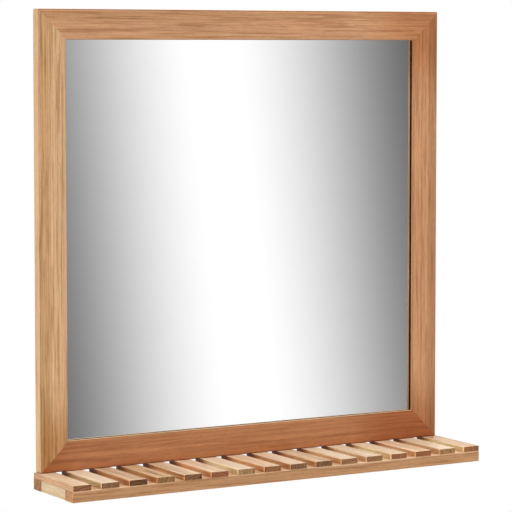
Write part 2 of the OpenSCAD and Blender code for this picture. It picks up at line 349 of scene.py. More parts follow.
    def rim(self, w: Wiring, point: Socket, source: Outputs) -> Socket:
        """Finds the outer part of a moulding's face, whose colour the rim tint multiplies."""
        outward = w.times(w.parts(point)[2], source["Rim Side"])
        return w.step(w.minus(outward, source["Rim Start"]), *self.rim_range)

    def tips(self, w: Wiring, point: Socket, source: Outputs) -> Socket:
        """Finds the tinted stretches at a piece's ends, on all its faces or on some; on the slats they are
        painted shade.
        """
        along = w.parts(point)[0]
        low = w.step(w.minus(source["Tip Low"], along), 0.0, source["Tip Reach"])
        high = w.step(w.minus(along, source["Tip High"]), 0.0, source["Tip Reach"])
        where, *sides = w.parts(source["Tip Faces"])
        facing = w.parts(source["Normal"])[1]
        for way, share in zip((1.0, -1.0), sides):
            there = w.step(w.times(facing, way), *self.side_on)
            where = w.math("MAXIMUM", where, w.times(there, share))
        return w.times(w.math("MAXIMUM", low, high), where)

    def rings(self, w: Wiring, radius: Socket, width: Socket) -> tuple[Socket, Socket]:
        """Counts growth rings outwards.

        Args:
            w: the group's wiring.
            radius: distance from the pith.
            width: mean width of a ring.

        Returns:
            How far through its ring a point lies, from 0 to 1, and a tone that changes from year to year.
        """
        uneven = w.drift(w.times(radius, self.ring_bumps))
        count = w.plus(w.math("DIVIDE", radius, width), w.times(uneven, self.ring_wander))
        return w.math("FRACT", count), w.drift(w.times(count, self.year_bumps))

    def eased(self, w: Wiring, facing: Outputs) -> Socket:
        """Finds the eased edges of squared stock, where the normal points along no axis."""
        largest = w.math("MAXIMUM", w.math("MAXIMUM", facing[0], facing[1]), facing[2])
        return w.minus(1.0, w.step(largest, *self.square_on))


# ---- finishes ----


class Grain(Enum):
    """Which way the grain of a piece runs, as the turn that lays it along X."""

    ALONG_X = (0.0, 0.0, 0.0)
    ALONG_Y = (0.0, 0.0, -math.pi / 2)
    ALONG_Z = (0.0, math.pi / 2, 0.0)

    def turn(self) -> Matrix:
        """Gives the turn as a matrix."""
        _, about_y, about_z = self.value
        return Matrix.Rotation(about_z, 3, "Z") @ Matrix.Rotation(about_y, 3, "Y")


@dataclass(frozen=True)
class Cut:
    """Where in its log a piece was sawn.

    Attributes:
        distance: from the pith to the middle of the piece.
        angle: direction from the pith to the piece, in degrees, seen along the grain.
        slide: how far along the log the piece lies.
    """

    distance: float
    angle: float
    slide: float

    def in_log(self) -> Vector:
        """Gives the place of the piece's middle in the log."""
        turn = math.radians(self.angle)
        return Vector((self.slide, self.distance * math.cos(turn), self.distance * math.sin(turn)))

    def shift(self, box: Box, grain: Grain) -> Vector:
        """Works out the shift that takes a piece from its place to its place in the log."""
        return self.in_log() - grain.turn() @ ((box[0] + box[1]) / 2)


@dataclass(frozen=True)
class Wood:
    """A timber finish: oiled, satin, its grain just to be felt.

    The fields are the timber group's inputs and relief, the height of the grain. Here the tips, the rim
    and the knot are placed from the middle of the piece.
    """

    early: str = "D0A67C"
    late: str = "A87C54"
    sap: str = "E3C496"
    end: str = "C4B4AE"
    ring_width: float = 3.4 * MM
    wander: float = 6.0 * MM
    contrast: float = 0.45
    streaks: float = 0.5
    pores: float = 0.6
    sap_edge: float = 1.0
    relief: float = 0.12 * MM
    rim: str = "FFFFFF"
    rim_side: float = 0.0
    rim_start: float = 1.0 * MM
    # The tip tint is painted shade on the slats, and darkens the members' ends on the frame.
    tip: str = "FFFFFF"
    tip_low: float = -100.0
    tip_high: float = 100.0
    tip_reach: float = 90 * MM
    tip_faces: Triple = (1.0, 0.0, 0.0)
    knot: Triple = (0.0, 0.0, 0.0)
    knot_size: float = 0.0
    # The lip colour is a painted highlight on the lip's faces beside the pane.
    lip: str = "F2D4B0"
    lip_share: float = 0.0
    # The flank tint is painted shade on the long narrow sides.
    flank: str = "FFFFFF"
    # The edge colour is partly wear and partly painted light on the eased edges.
    edge: str = "E6C79A"
    edge_share: float = 0.22

    gloss = 0.18
    bump_strength = 0.6

    def inputs(self) -> dict[str, object]:
        """Gives the inputs of the timber group that the fields stand for."""
        made = {}
        for name, value in vars(self).items():
            if isinstance(value, str):
                value = paint(value)
            elif isinstance(value, tuple):
                value = Vector(value)
            made[name.replace("_", " ").title()] = value
        del made["Relief"]
        return made

    def material(self, name: str, box: Box, grain: Grain, cut: Cut) -> Material:
        """Makes the material of one piece of wood.

        Args:
            name: the material's name.
            box: lowest and highest corner of the piece.
            grain: which way its grain runs.
            cut: where in its log it was sawn.

        Returns:
            The material.
        """
        made, w, shader = new_material(name)
        coordinates = w.node("TexCoord").outputs
        turned = {"Rotation": grain.value}
        point = w.node("Mapping", {**turned, "Vector": coordinates["Object"]}, vector_type="POINT")
        w.feed(point.inputs["Location"], cut.shift(box, grain))
        normal = w.node("Mapping", {**turned, "Vector": coordinates["Normal"]}, vector_type="VECTOR")
        feeds = {**self.inputs(), "Point": point.outputs[0], "Normal": normal.outputs[0]}
        feeds["Rim Start"] += self.rim_side * cut.in_log().z
        feeds["Tip Low"] += cut.slide
        feeds["Tip High"] += cut.slide
        feeds["Knot"] += cut.in_log()
        timber = TimberGroup().place(w, feeds)
        w.feed_all(shader, {
            "Base Color": timber["Color"],
            "Roughness": timber["Roughness"],
            "Normal": w.bump(timber["Height"], self.relief, self.bump_strength),
            "Specular IOR Level": self.gloss,
        })
        return made


@dataclass(frozen=True)
class Glass:
    """Clear float glass."""

    tint: str = "FEFEFE"
    ior: float = 1.5

    def material(self, name: str) -> Material:
        """Makes the glass material."""
        made, w, shader = new_material(name)
        w.feed_all(shader, {
            "Base Color": paint(self.tint),
            "Roughness": 0.0,
            "Transmission Weight": 1.0,
            "IOR": self.ior,
        })
        return made


@dataclass(frozen=True)
class Silver:
    """Silver on the back of a pane, with a trace of haze."""

    tint: str = "F8F8F8"
    haze: str = "DADADA"

    haze_bumps = (9.0,) * 3
    haze_share = (0.0, 0.04)
    roughness = (0.012, 0.02)

    def material(self, name: str) -> Material:
        """Makes the silver material."""
        made, w, shader = new_material(name)
        haze = w.noise(w.here(), self.haze_bumps, 3.0)[0]
        w.feed_all(shader, {
            "Base Color": w.mix(w.spread(haze, *self.haze_share), paint(self.tint), paint(self.haze)),
            "Roughness": w.spread(haze, *self.roughness),
            "Metallic": 1.0,
        })
        return made


@dataclass(frozen=True)
class Zinc:
    """Zinc-plated steel: pale, a little blue, with faint drawn lines and dull patches."""

    bright: str = "C4C7CC"
    dull: str = "9A9DA3"

    patch_bumps = (420.0,) * 3
    line_bumps = (3200.0, 3200.0, 90.0)
    dull_range = (0.4, 0.7)
    patch_roughness = (0.24, 0.42)
    line_roughness = (-0.05, 0.05)
    relief = 0.02 * MM

    def material(self, name: str) -> Material:
        """Makes the zinc material."""
        made, w, shader = new_material(name)
        patch = w.noise(w.here(), self.patch_bumps, 4.0, 0.65)[0]
        lines = w.noise(w.here(), self.line_bumps)[0]
        dull = w.step(patch, *self.dull_range)
        rough = w.plus(w.spread(patch, *self.patch_roughness), w.spread(lines, *self.line_roughness))
        w.feed_all(shader, {
            "Base Color": w.mix(dull, paint(self.bright), paint(self.dull)),
            "Roughness": rough,
            "Normal": w.bump(lines, self.relief),
            "Metallic": 1.0,
        })
        return made


@dataclass(frozen=True)
class Hardboard:
    """Pressed fibre board, smooth side out, with darker flecks of bark."""

    body: str = "7A5B42"
    fleck: str = "523A28"

    cloud_bumps = (14.0,) * 3
    cloud_swing = (0.85, 1.15)
    fibre_bumps = (700.0,) * 3
    fibre_share = (0.0, 0.7)
    flecks = 260.0
    fleck_range = (0.05, 0.28)
    fleck_share = 0.4
    roughness = (0.5, 0.72)
    relief = 0.1 * MM

    def material(self, name: str) -> Material:
        """Makes the hardboard material."""
        made, w, shader = new_material(name)
        cloud = w.noise(w.here(), self.cloud_bumps, 3.0)[0]
        fibre = w.noise(w.here(), self.fibre_bumps, 4.0, 0.7)[0]
        fleck = w.node("TexVoronoi", {"Vector": w.here(), "Scale": self.flecks}).outputs["Distance"]
        fleck = w.minus(1.0, w.step(fleck, *self.fleck_range))
        colour = w.mix(w.spread(fibre, *self.fibre_share), paint(self.body), paint(self.fleck))
        colour = w.mix(w.times(fleck, self.fleck_share), colour, paint(self.fleck))
        w.feed_all(shader, {
            "Base Color": w.mix(1.0, colour, w.spread(cloud, *self.cloud_swing), "MULTIPLY"),
            "Roughness": w.spread(fibre, *self.roughness),
            "Normal": w.bump(fibre, self.relief),
        })
        return made


def new_material(name: str) -> tuple[Material, Wiring, Node]:
    """Starts a material that has one Principled shader.

    Args:
        name: the material's name.

    Returns:
        The material, its wiring and its shader node.
    """
    made = bpy.data.materials.new(name)
    made.use_nodes = True
    return made, Wiring(made.node_tree), made.node_tree.nodes["Principled BSDF"]


# ---- modelling by hand ----


def pick(*chosen: Piece) -> None:
    """Selects these objects only, and makes the first one active."""
    bpy.ops.object.select_all(action="DESELECT")
    for piece in chosen:
        piece.select_set(True)
    bpy.context.view_layer.objects.active = chosen[0]


@contextmanager
def editing(piece: Piece, mode: str = "FACE", first: str = "DESELECT") -> Iterator[None]:
    """Opens a piece in edit mode with nothing or all of it selected, and closes it again."""
    pick(piece)
    bpy.ops.object.mode_set(mode="EDIT")
    bpy.ops.mesh.select_mode(type=mode)
    bpy.ops.mesh.select_all(action=first)
    yield
    bpy.ops.object.mode_set(mode="OBJECT")


def select_faces(piece: Piece, wanted: Callable[[Vector, Vector], bool]) -> None:
    """Selects, in edit mode, each face whose middle and normal pass a test."""
    mesh = bmesh.from_edit_mesh(piece.data)
    mesh.normal_update()
    for face in mesh.faces:
        face.select_set(wanted(face.calc_center_median(), face.normal))
    bmesh.update_edit_mesh(piece.data)


def select_edges(piece: Piece, wanted: Callable[[Vector, Vector], bool]) -> None:
    """Selects, in edit mode, each edge whose middle and direction pass a test."""
    mesh = bmesh.from_edit_mesh(piece.data)
    for edge in mesh.edges:
        ends = [v.co for v in edge.verts]
        edge.select_set(wanted((ends[0] + ends[1]) / 2, (ends[1] - ends[0]).normalized()))
    bmesh.update_edit_mesh(piece.data)


def primitive(name: str, add: Callable[..., set], **settings: object) -> Piece:
    """Adds one of Blender's basic shapes.

    Args:
        name: the piece's name.
        add: the operator that makes the shape.
        settings: the operator's settings.

    Returns:
        The shape, with its place, turn and size in its mesh.
    """
    bpy.ops.object.select_all(action="DESELECT")
    add(**settings)
    bpy.ops.object.transform_apply(location=True, rotation=True, scale=True)
    made = bpy.context.object
    made.name = name
    return made


def block(name: str, box: Box) -> Piece:
    """Adds a plain block that fills a box, for a start."""
    low, high = box
    cube = {"size": 1, "location": (low + high) / 2, "scale": high - low}
    made = primitive(name, bpy.ops.mesh.primitive_cube_add, **cube)
    made.data.name = name
    return made


def add_object(name: str, data: bpy.types.ID) -> Piece:
    """Adds an object to the scene."""
    made = bpy.data.objects.new(name, data)
    bpy.context.scene.collection.objects.link(made)
    return made


def copy_of(node: str, name: str) -> Piece:
    """Copies a node's mesh into a new piece, and merges its loose triangles into whole faces."""
    mesh = frame["nodes"][node].data.copy()
    mesh.materials.clear()
    made = add_object(name, mesh)
    with editing(made, "VERT", "SELECT"):
        bpy.ops.mesh.remove_doubles(threshold=WELD)
        bpy.ops.mesh.dissolve_limited(angle_limit=FLAT_WITHIN)
    return made


def modify(piece: Piece, kind: str, **settings: object) -> None:
    """Changes a piece by a modifier, and applies it.

    Args:
        piece: the piece.
        kind: the modifier's type.
        settings: its settings.
    """
    pick(piece)
    modifier = piece.modifiers.new(kind, kind)
    for name, value in settings.items():
        setattr(modifier, name, value)
    bpy.ops.object.modifier_apply(modifier=modifier.name)


def ease(piece: Piece, width: float) -> None:
    """Takes the sharpness off a piece's corners with a bevel that is two faces wide."""
    limit = {"limit_method": "ANGLE", "angle_limit": EASED_OVER}
    modify(piece, "BEVEL", width=width, segments=2, **limit)


def smooth(piece: Piece) -> None:
    """Shades a piece smoothly across shallow edges, with its flat faces kept flat."""
    pick(piece)
    bpy.ops.object.shade_smooth_by_angle(angle=SMOOTH_UNDER)
    modify(piece, "WEIGHTED_NORMAL", keep_sharp=True)


def fit(piece: Piece, material: Material, node: str) -> None:
    """Gives a new piece its material and slot, and puts it in the place of its node."""
    piece.data.materials.append(material)
    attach(piece, BODY)
    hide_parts(node)
    LOG.info("%s stands for %s, with %d faces", piece.name, node, len(piece.data.polygons))


def redress(node: str, material: Material) -> None:
    """Gives a node whose shape is right its finished material."""
    materials = frame["nodes"][node].data.materials
    materials.clear()
    materials.append(material)
    LOG.info("%s keeps its shape and has a new finish", node)


def boxes_of_solids(node: str) -> list[Box]:
    """Finds the separate solids in a node.

    Args:
        node: name of a node that holds several solids.

    Returns:
        The lowest and highest corner of each, ordered by their corners.
    """
    mesh = bmesh.new()
    mesh.from_mesh(frame["nodes"][node].data)
    bmesh.ops.remove_doubles(mesh, verts=mesh.verts, dist=WELD)
    left, found = set(mesh.verts), []
    while left:
        island, edge_of = [], [left.pop()]
        while edge_of:
            vert = edge_of.pop()
            island.append(vert.co.copy())
            near = {other for edge in vert.link_edges for other in edge.verts} & left
            left -= near
            edge_of.extend(near)
        corners = [[end(v[i] for v in island) for i in range(3)] for end in (min, max)]
        found.append((Vector(corners[0]), Vector(corners[1])))
    mesh.free()
    return sorted(found, key=lambda box: [round(c, 5) for c in (*box[0], *box[1])])


# ---- the frame ----


@dataclass
class MitredFrame:
    """The four crowned members of the frame, each its own length of timber."""

    ease_width: float = 0.3 * MM
    sight_ease: float = 0.9 * MM
    bevel_depth: float = 2 * MM

    def build(self) -> None:
        """Makes and dresses the two stiles and the two rails."""
        # The frame's dark edge colours are a painted line of shade along the arrises, and its lip colours a
        # painted highlight beside the pane.
        honey = Wood(
            early="DCB388", late="9E7042", sap="E5C49E", contrast=0.25, streaks=0.6, sap_edge=0.128,
            rim="EDE5DA", rim_side=1, tip="E8D6C0", tip_low=-0.17, tip_faces=(0.0, 0.0, 1.0),
            edge="8A5C34", edge_share=0.42, lip_share=0.5,
        )
        rose = Wood(
            early="C9946B", late="9C6541", contrast=0.15, streaks=0.55,
            rim="ECECE8", rim_side=-1, tip="E2CCBA", tip_low=-0.19, tip_high=0.16,
            edge="7E5030", edge_share=0.5, lip="E0B488", lip_share=0.15,
        )
        tan = Wood(
            early="CD9B73", late="9A633D", contrast=0.2, streaks=0.55,
            rim="F2F1EC", rim_side=1, tip="E8D4C2", tip_high=0.165, edge="6E4428", edge_share=0.8,
            lip_share=0.5,
        )
        russet = Wood(
            early="BC8157", late="884C30", contrast=0.22, streaks=0.4, end="A08070",
            rim="FCF2E8", rim_side=-1, rim_start=7 * MM, tip="E0C6B4", tip_low=-0.22, tip_high=0.14,
            edge="6E3A1E", edge_share=0.5, lip="FFDCB0", lip_share=0.85,
        )
        self.member("left_stile", "stile_left", honey, Grain.ALONG_Z, Cut(0.11, 90, 0.4))
        self.member("right_stile", "stile_right", rose, Grain.ALONG_Z, Cut(0.07, 20, 2.3))
        self.member("top_rail", "rail_top", tan, Grain.ALONG_X, Cut(0.10, 60, 5.1))
        self.member("bottom_rail", "rail_bottom", russet, Grain.ALONG_X, Cut(0.12, 25, 7.9))

    def member(self, node: str, name: str, wood: Wood, grain: Grain, cut: Cut) -> None:
        """Makes one member.

        Args:
            node: the node that it stands for.
            name: the piece's name.
            wood: its finish.
            grain: the way its grain runs.
            cut: where in its log it was sawn.
        """
        piece = copy_of(node, name)
        self.soften_sight_edge(piece)
        ease(piece, self.ease_width)
        smooth(piece)
        fit(piece, wood.material(name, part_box(node), grain, cut), node)

    def soften_sight_edge(self, piece: Piece) -> None:
        """Rounds the long edge where the bevel meets the lip, next to the pane."""
        low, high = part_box("mirror_glass")
        middle, half = (low + high) / 2, (high - low) / 2

        def along_sight(place: Vector, way: Vector) -> bool:
            inside = abs(place.x - middle.x) < half.x and abs(place.z - middle.z) < half.z
            return inside and place.y < low.y - self.bevel_depth and abs(way.y) < LEVEL

        with editing(piece, "EDGE"):
            select_edges(piece, along_sight)
            bpy.ops.mesh.bevel(offset=self.sight_ease, segments=3, affect="EDGES")


@dataclass
class Mirror:
    """The silvered pane, the panel behind it and the dowels that lock the mitres."""

    seam: float = 0.6 * MM
    paint_room: float = 0.15 * MM

    def build(self) -> None:
        """Makes the pane and dresses what lies behind it."""
        self.pane()
        redress("back_panel", Hardboard().material("hardboard"))
        beech = Wood(early="E2C79C", late="C9A577", contrast=0.3, streaks=0.15)
        for node in ("mitre_dowels", "end_rail_dowels"):
            look = beech.material(node + "_beech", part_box(node), Grain.ALONG_X, Cut(0.15, 40, 9.0))
            redress(node, look)

    def pane(self) -> None:
        """Makes the pane: clear glass with ground arrises, whose back face is silvered."""
        low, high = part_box("mirror_glass")
        piece = block("pane", (low, high - Vector((0, self.paint_room, 0))))
        with editing(piece, "EDGE", "SELECT"):
            bpy.ops.mesh.bevel(offset=self.seam, segments=1, affect="EDGES")
        fit(piece, Glass().material("clear_glass"), "mirror_glass")
        piece.data.materials.append(Silver().material("silver"))
        for face in piece.data.polygons:
            face.material_index = int(face.normal.y > FACING)


# ---- the shelf ----


class EndTone(Enum):
    """What the colour of a board is multiplied by on its end grain."""

    BROWN = "A48266"
    TAWNY = "C19C7A"
    DARK = "927660"
    DEEP = "836A56"
    GREY = "B09A80"
    RED = "A4785E"
    PALE = "B89C7A"


class SlatTone(Enum):
    """The tones that the slats were sorted from, as early and late wood."""

    CREAM = ("F0D6B7", "D4B18B")
    ROSE = ("F2D2B1", "CEA480")
    TAN = ("E0BF9F", "B9906E")
    WHEAT = ("ECCFAF", "C39C78")
    PALE = ("F1D9BD", "D6B691")
    DUSKY = ("E2BD95", "A8845A")
    SAND = ("E5CBAC", "CBA883")
    HAZEL = ("CBAB8A", "A7815F")


@dataclass(frozen=True)
class Knot:
    """A small knot.

    Attributes:
        place: how far it lies from the slat's middle to the back, to the left and up.
        size: its radius across the grain.
    """

    place: Triple = (0.0, 0.0, 0.0)
    size: float = 0.0


@dataclass(frozen=True)
class SlatStock:
    """One slat's timber.

    Attributes:
        tone: its tone.
        end: the tone of its end grain.
        cut: where in its log it was sawn.
        streaks: strength of its dark streaks.
        flank: tint of its long narrow sides, a painted shade, darker and warmer as in the slots between the
            slats.
        sap: how far its sapwood starts beyond the slat's middle, or None for none.
        knot: its knot, if it has one.
    """

    tone: SlatTone
    end: EndTone
    cut: Cut
    streaks: float
    flank: str = "F8DAB8"
    sap: float | None = None
    knot: Knot = Knot()


ON_TOP = Knot((-22 * MM, 1 * MM, 3.5 * MM), 3.4 * MM)
AT_CORNER = Knot((-55.5 * MM, -10.5 * MM, -1 * MM), 3.2 * MM)
IN_END = Knot((-55.5 * MM, -5.6 * MM, 0.5 * MM), 2.4 * MM)


@dataclass
class SlattedShelf:
    """Sixteen slats on two battens that two end rails join.

    The slats' sides that face one another carry a painted shade toward the frame, where they run under it.
    """

    long_ease: float = 0.8 * MM
    end_ease: float = 0.35 * MM
    batten_ease: float = 0.35 * MM
    sapwood: str = "FDE8B4"
    shade: str = "A87A4C"
    shade_start: float = 12 * MM
    shade_reach: float = 36 * MM

    stock = (
        SlatStock(SlatTone.WHEAT, EndTone.BROWN, Cut(0.06, 75, 0.2), 0.6, "DFCAB9"),
        SlatStock(SlatTone.PALE, EndTone.DARK, Cut(0.08, 12, 0.5), 0.3, sap=10.5 * MM),
        SlatStock(SlatTone.TAN, EndTone.DEEP, Cut(0.02, 95, 1.1), 0.4),
        SlatStock(SlatTone.DUSKY, EndTone.GREY, Cut(0.09, 30, 1.6), 0.6, knot=ON_TOP),
        SlatStock(SlatTone.WHEAT, EndTone.DARK, Cut(0.05, 80, 2.2), 0.5, knot=AT_CORNER),
        SlatStock(SlatTone.ROSE, EndTone.RED, Cut(0.10, 110, 2.7), 0.2),
        SlatStock(SlatTone.PALE, EndTone.GREY, Cut(0.07, -12, 3.4), 0.3, sap=9.5 * MM),
        SlatStock(SlatTone.ROSE, EndTone.BROWN, Cut(0.05, 20, 3.9), 0.6),
        SlatStock(SlatTone.CREAM, EndTone.DARK, Cut(0.11, 5, 4.5), 0.3, "DCBA9C"),
        SlatStock(SlatTone.WHEAT, EndTone.DARK, Cut(0.06, 35, 5.45), 0.9),
        SlatStock(SlatTone.PALE, EndTone.BROWN, Cut(0.04, 85, 5.8), 0.3),
        SlatStock(SlatTone.PALE, EndTone.BROWN, Cut(0.03, 70, 6.3), 0.5, "FFF0D4"),
        SlatStock(SlatTone.CREAM, EndTone.RED, Cut(0.09, -8, 6.9), 0.3, sap=11 * MM),
        SlatStock(SlatTone.ROSE, EndTone.RED, Cut(0.10, 90, 7.4), 0.3, "F8E4CC"),
        SlatStock(SlatTone.SAND, EndTone.PALE, Cut(0.05, -40, 8.0), 0.4, "FFEED6", knot=IN_END),
        SlatStock(SlatTone.HAZEL, EndTone.TAWNY, Cut(0.08, -10, 8.6), 0.3, sap=10 * MM),
    )

    def build(self) -> None:
        """Makes and dresses the slats, the battens and the end rails."""
        for number, stock in enumerate(self.stock, 1):
            self.slat(f"slat_{number:02d}", stock)
        tan = Wood(
            early="C39368", late="986741", sap="E4C29C", contrast=0.25, streaks=0.65, end="FFFFFF",
            ring_width=1.7 * MM, sap_edge=0.0762,
        )
        brown = Wood(early="C39166", late="98663F", contrast=0.25, streaks=0.65, end="D2D1CB")
        sapwood = Wood(
            early="D8BE9C", late="BC9A70", contrast=0.35, streaks=0.3, end="D8C0A8",
            rim="ECE8D4", rim_side=-1, rim_start=0.0,
        )
        self.bar("front_batten", "batten_front", tan, Grain.ALONG_X, Cut(0.07, 90, 11.0))
        self.bar("back_batten", "batten_back", brown, Grain.ALONG_X, Cut(0.08, 30, 12.5))
        for side, angle in (("left", 100), ("right", 60)):
            cut = Cut(0.12, angle, 14.0 + angle)
            self.bar(f"{side}_end_rail", f"end_rail_{side}", sapwood, Grain.ALONG_Y, cut)

    def slat(self, node: str, stock: SlatStock) -> None:
        """Makes one slat: a planed board with rounded long edges and eased ends."""
        piece = block("shelf_" + node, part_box(node))
        with editing(piece, "EDGE"):
            select_edges(piece, lambda middle, way: abs(way.y) > FACING)
            bpy.ops.mesh.bevel(offset=self.long_ease, segments=4, affect="EDGES")
            bpy.ops.mesh.select_all(action="DESELECT")
            ends = [corner.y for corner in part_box(node)]
            select_edges(piece, lambda middle, way: min(abs(middle.y - end) for end in ends) < WELD)
            bpy.ops.mesh.bevel(offset=self.end_ease, segments=2, affect="EDGES")
        smooth(piece)
        edge = Wood.sap_edge if stock.sap is None else stock.cut.distance + stock.sap
        # Painted shade: the sides that face a neighbour darken toward the frame; the outer sides of the end
        # slats are left out.
        shaded_faces = (0.0, float(stock is not self.stock[0]), float(stock is not self.stock[-1]))
        wood = Wood(
            *stock.tone.value, sap=self.sapwood, end=stock.end.value, streaks=stock.streaks, sap_edge=edge,
            tip=self.shade, tip_high=self.shade_start, tip_reach=self.shade_reach, tip_faces=shaded_faces,
            knot=stock.knot.place, knot_size=stock.knot.size, flank=stock.flank,
        )
        look = wood.material(piece.name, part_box(node), Grain.ALONG_Y, stock.cut)
        fit(piece, look, node)

    def bar(self, node: str, name: str, wood: Wood, grain: Grain, cut: Cut) -> None:
        """Makes a batten or an end rail, with its bores."""
        piece = copy_of(node, name)
        ease(piece, self.batten_ease)
        smooth(piece)
        fit(piece, wood.material(name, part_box(node), grain, cut), node)


# ---- hardware ----


@dataclass(frozen=True)
class WoodScrew:
    """A countersunk wood screw with a cross recess and a rolled thread.

    Attributes:
        shank: radius of the shank, at the thread's core.
        rim: thickness of the head's rim.
        pitch: rise of the thread in one turn.
        ridge: radius of the thread's section, as a share of the pitch.
        point: width of the tip's end, as a share of the shank.
        recess: half an arm's length and width, and the depth, as shares of the head's radius.
        taper: width of the recess at its bottom, as a share of that at its top.
    """

    shank: float
    rim: float = 0.3 * MM
    pitch: float = 1.5 * MM
    sides: int = 32
    thread_steps: int = 14
    ridge: float = 0.28
    point: float = 0.15
    recess: Triple = (0.62, 0.13, 0.55)
    taper: float = 0.45

    def model(self, name: str, head: float, length: float) -> Piece:
        """Models the screw along +Z, with its head's face at the origin.

        Args:
            name: the piece's name.
            head: radius of the head.
            length: the screw's whole length.

        Returns:
            The screw.
        """
        disc = {"radius": head, "depth": self.rim, "location": (0, 0, self.rim / 2)}
        piece = primitive(name, bpy.ops.mesh.primitive_cylinder_add, vertices=self.sides, **disc)
        cone, tip = head - self.shank, 2 * self.shank
        shank = length - self.rim - cone - tip
        with editing(piece):
            select_faces(piece, lambda middle, normal: normal.z > FACING)
            for rise, narrow in ((cone, self.shank / head), (shank, 1.0), (tip, self.point)):
                bpy.ops.mesh.extrude_region_move(TRANSFORM_OT_translate={"value": (0, 0, rise)})
                bpy.ops.transform.resize(value=(narrow, narrow, 1), center_override=(0, 0, 0))
        self.sink_cross(piece, head)
        self.wind_thread(piece, self.rim + cone + self.pitch, length - tip)
        smooth(piece)
        return piece

    def sink_cross(self, piece: Piece, head: float) -> None:
        """Sinks the cross recess into the head."""
        arm, web, depth = (share * head for share in self.recess)
        for half in ((arm, web), (web, arm)):
            cutter = block("cross_arm", (Vector((-half[0], -half[1], -depth)), Vector((*half, depth))))
            with editing(cutter):
                select_faces(cutter, lambda middle, normal: normal.z > FACING)
                bpy.ops.transform.resize(value=(self.taper, self.taper, 1), center_override=(0, 0, 0))
            modify(piece, "BOOLEAN", object=cutter, solver="EXACT")
            bpy.data.objects.remove(cutter)

    def wind_thread(self, piece: Piece, start: float, end: float) -> None:
        """Winds the thread's ridge round the shank and joins it to the screw."""
        ridge = primitive(
            "ridge", bpy.ops.mesh.primitive_circle_add, vertices=3, radius=self.ridge * self.pitch,
            location=(self.shank, 0, start), rotation=(math.pi / 2, math.pi / 2, 0),
        )
        modify(
            ridge, "SCREW", angle=2 * math.pi, screw_offset=self.pitch,
            iterations=int((end - start) / self.pitch),
            steps=self.thread_steps, render_steps=self.thread_steps,
        )
        with editing(ridge, "EDGE", "SELECT"):
            bpy.ops.mesh.fill_holes(sides=3)
            bpy.ops.mesh.select_all(action="SELECT")
            bpy.ops.mesh.normals_make_consistent(inside=False)
        pick(piece, ridge)
        bpy.ops.object.join()


@dataclass
class Hardware:
    """The keyhole hangers and every screw."""

    plate_ease: float = 0.2 * MM

    def build(self) -> None:
        """Makes and dresses the hangers and the four sets of screws."""
        zinc = Zinc().material("zinc_plate")
        for side in ("left", "right"):
            piece = copy_of(f"{side}_hanger", f"hanger_{side}")
            ease(piece, self.plate_ease)
            smooth(piece)
            fit(piece, zinc, f"{side}_hanger")
        self.screws("slat_screws", WoodScrew(1.5 * MM), zinc)
        self.screws("shelf_screws", WoodScrew(2.0 * MM, pitch=1.8 * MM), zinc)
        self.screws("panel_screws", WoodScrew(1.25 * MM, pitch=1.2 * MM), zinc)
        self.screws("hanger_screws", WoodScrew(1.5 * MM), zinc)

    def screws(self, node: str, kind: WoodScrew, look: Material) -> None:
        """Models one screw and sets a copy of it in the place of each screw of a node.

        Args:
            node: the node that holds the screws, all driven upward or all driven to the front.
            kind: the kind of screw.
            look: their material.
        """
        boxes = boxes_of_solids(node)
        size = boxes[0][1] - boxes[0][0]
        upright = size.z > size.y
        name = node.removesuffix("s") + "_set"
        master = kind.model(name, size.x / 2, size.z if upright else size.y)
        turn = Matrix.Rotation(0 if upright else math.pi / 2, 4, "X")
        copies = []
        for low, high in boxes:
            middle = (low + high) / 2
            place = Vector((middle.x, middle.y, low.z)) if upright else Vector((middle.x, high.y, middle.z))
            copies.append(add_object("screw", master.data.copy()))
            copies[-1].data.transform(Matrix.Translation(place) @ turn)
        pick(*copies)
        bpy.ops.object.join()
        bpy.data.objects.remove(master)
        copies[0].name = name
        fit(copies[0], look, node)


# ---- the studio ----


@dataclass(frozen=True)
class Softbox:
    """A square soft lamp.

    Its share is how bright it makes a white face that looks straight at it.
    """

    name: str
    place: Triple
    size: float
    share: float

    def light(self, target: Vector) -> None:
        """Adds the lamp and aims it."""
        lamp = bpy.data.lights.new(self.name, "AREA")
        lamp.shape = "SQUARE"
        lamp.size = self.size
        way = target - Vector(self.place)
        lamp.energy = self.share * math.pi**2 * way.length_squared
        made = add_object(self.name, lamp)
        made.location = self.place
        made.rotation_euler = way.to_track_quat("-Z", "Y").to_euler()
        made.visible_glossy = made.visible_transmission = False


